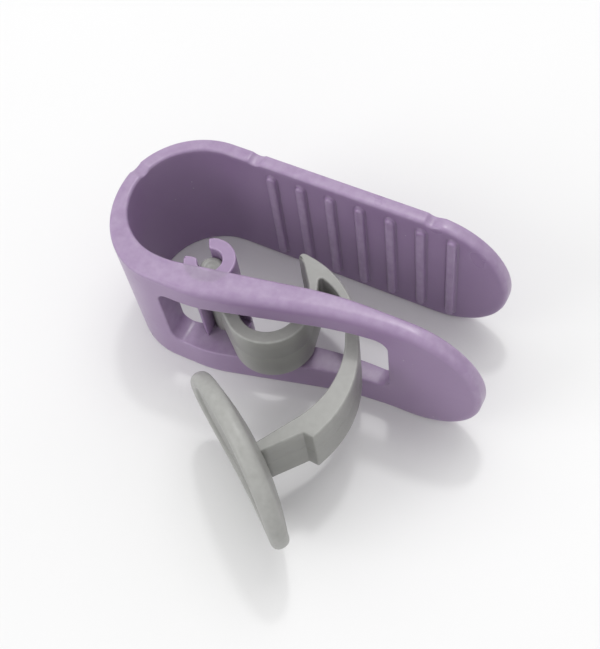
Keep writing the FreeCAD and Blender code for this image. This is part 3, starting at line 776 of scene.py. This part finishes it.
def make_materials():
    groups = moulded_skin(), edge_highlight_and_wear()
    # The pale edge colour and its share paint highlights on rims and crowns, with wear.
    lilac = plastic("lilac_polypropylene", groups, {
        "main": (0.305, 0.210, 0.355, 1), "deep": (0.285, 0.193, 0.335, 1), "highlit_and_worn": (0.52, 0.43, 0.57, 1),
        "highlight_and_wear": 0.42, "dust": 0.35, "rough": (0.30, 0.03), "scuff": 0.10, "peel": 0.10,
        "cloud_size": 60.0, "peel_size": 1100.0, "streak_size": 240.0, "break_up": 700.0,
        "sockets": {"IOR": 1.49, "Subsurface Weight": 0.25, "Subsurface Scale": 0.001,
                    "Subsurface Radius": (1.0, 0.7, 1.1)}})
    grey = plastic("warm_grey_acetal", groups, {
        "main": (0.315, 0.315, 0.30, 1), "deep": (0.285, 0.286, 0.27, 1), "highlit_and_worn": (0.50, 0.50, 0.485, 1),
        "highlight_and_wear": 0.45, "dust": 0.3, "rough": (0.40, 0.04), "scuff": 0.12, "peel": 0.16,
        "cloud_size": 90.0, "peel_size": 1700.0, "streak_size": 300.0, "break_up": 900.0,
        "sockets": {"IOR": 1.48}})
    return lilac, grey


# ---- floor, light and camera ----
FLOOR_HALF, FLOOR_GAP = 1.5, 0.00002  # metres; the gap keeps the floor clear of the clip's foot


def make_floor():
    mesh = bpy.data.meshes.new("floor")
    half = FLOOR_HALF
    corners = [(-half, -half, 0), (half, -half, 0), (half, half, 0), (-half, half, 0)]
    mesh.from_pydata(corners, [], [(0, 1, 2, 3)])
    material = bpy.data.materials.new("pale_floor")
    material.use_nodes = True
    tree = material.node_tree
    shader = tree.nodes["Principled BSDF"]
    place = add_node(tree, "TexCoord").outputs["Object"]
    mottle = add_node(tree, "TexNoise", Vector=place, Scale=12.0, Detail=2.0).outputs[0]
    colour = blend_colours(tree, mottle, (0.80, 0.80, 0.80, 1), (0.83, 0.83, 0.83, 1))
    tree.links.new(colour, shader.inputs["Base Color"])
    shader.inputs["Roughness"].default_value = 0.42
    shader.inputs["Specular IOR Level"].default_value = 0.3
    mesh.materials.append(material)
    floor = bpy.data.objects.new("floor", mesh)
    floor.location.z = -FLOOR_GAP
    bpy.context.scene.collection.objects.link(floor)


def soft_light(name, place, target, size, power, colour=(1, 1, 1)):
    data = bpy.data.lights.new(name, "AREA")
    data.shape = "DISK"
    data.size = size
    data.energy = power
    data.color = colour
    light = bpy.data.objects.new(name, data)
    light.location = place
    light.rotation_euler = (Vector(target) - Vector(place)).to_track_quat("-Z", "Y").to_euler()
    bpy.context.scene.collection.objects.link(light)
    return light


def make_lights():
    """A bright room that dims towards the horizon, soft panels above and to the left, and a small lamp
    that draws the shadows' edges."""
    middle = Vector((0.018, -0.02, 0.0))
    soft_light("key_lamp", middle + Vector((-0.045, 0.21, 0.50)), middle, 0.05, 0.36)
    soft_light("back_panel", middle + Vector((0.02, 0.30, 0.78)), middle, 0.5, 1.2)
    soft_light("left_panel", middle + Vector((-0.55, -0.62, 0.50)), middle, 0.6, 2.4)
    world = bpy.data.worlds.new("pale_room")
    world.use_nodes = True
    tree = world.node_tree
    way = add_node(tree, "SeparateXYZ", Vector=add_node(tree, "TexCoord").outputs["Generated"])
    light = add_node(tree, "MapRange", Value=way.outputs["Z"], i1=0.0, i2=1.0, i3=0.62, i4=0.92)
    back = tree.nodes["Background"]
    back.inputs["Color"].default_value = (1.0, 1.0, 1.0, 1)
    tree.links.new(light.outputs[0], back.inputs["Strength"])
    bpy.context.scene.world = world


def make_camera():
    data = bpy.data.cameras.new("camera")
    data.lens = 61.01
    data.sensor_width = 36
    data.clip_start = 0.005
    camera = bpy.data.objects.new("camera", data)
    right = Vector((0.88622, 0.45337, -0.09524))
    down = Vector((0.35118, -0.79154, -0.50014))
    ahead = Vector((-0.30213, 0.40979, -0.86069))
    turn = Matrix((right, -down, -ahead)).transposed()
    camera.matrix_world = Matrix.Translation(Vector((74.50, -91.07, 164.10)) * MM) @ turn.to_4x4()
    bpy.context.scene.collection.objects.link(camera)
    bpy.context.scene.camera = camera


# ---- put together ----
lilac, grey = make_materials()

clip_shells = [clip_wall()]
clip_shells += [grip_rib(RIB_FIRST + RIB_PITCH * n) for n in range(RIB_COUNT)]
clip_shells += socket_shells()
clip = add_piece("clip_moulding", join(clip_shells), lilac, None,
                 ("front_arm", "spring_bow", "rear_arm"))
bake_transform(clip)

add_piece("lever_strip", lever_strip(), grey, "lever", ("swing_lever",))
add_piece("hinge_pin", hinge_pin(), grey, "lever")
add_piece("thumb_plate", thumb_plate(), grey, "lever", ("thumb_pad",))

make_floor()
make_lights()
make_camera()
bpy.context.scene.view_settings.view_transform = "Standard"
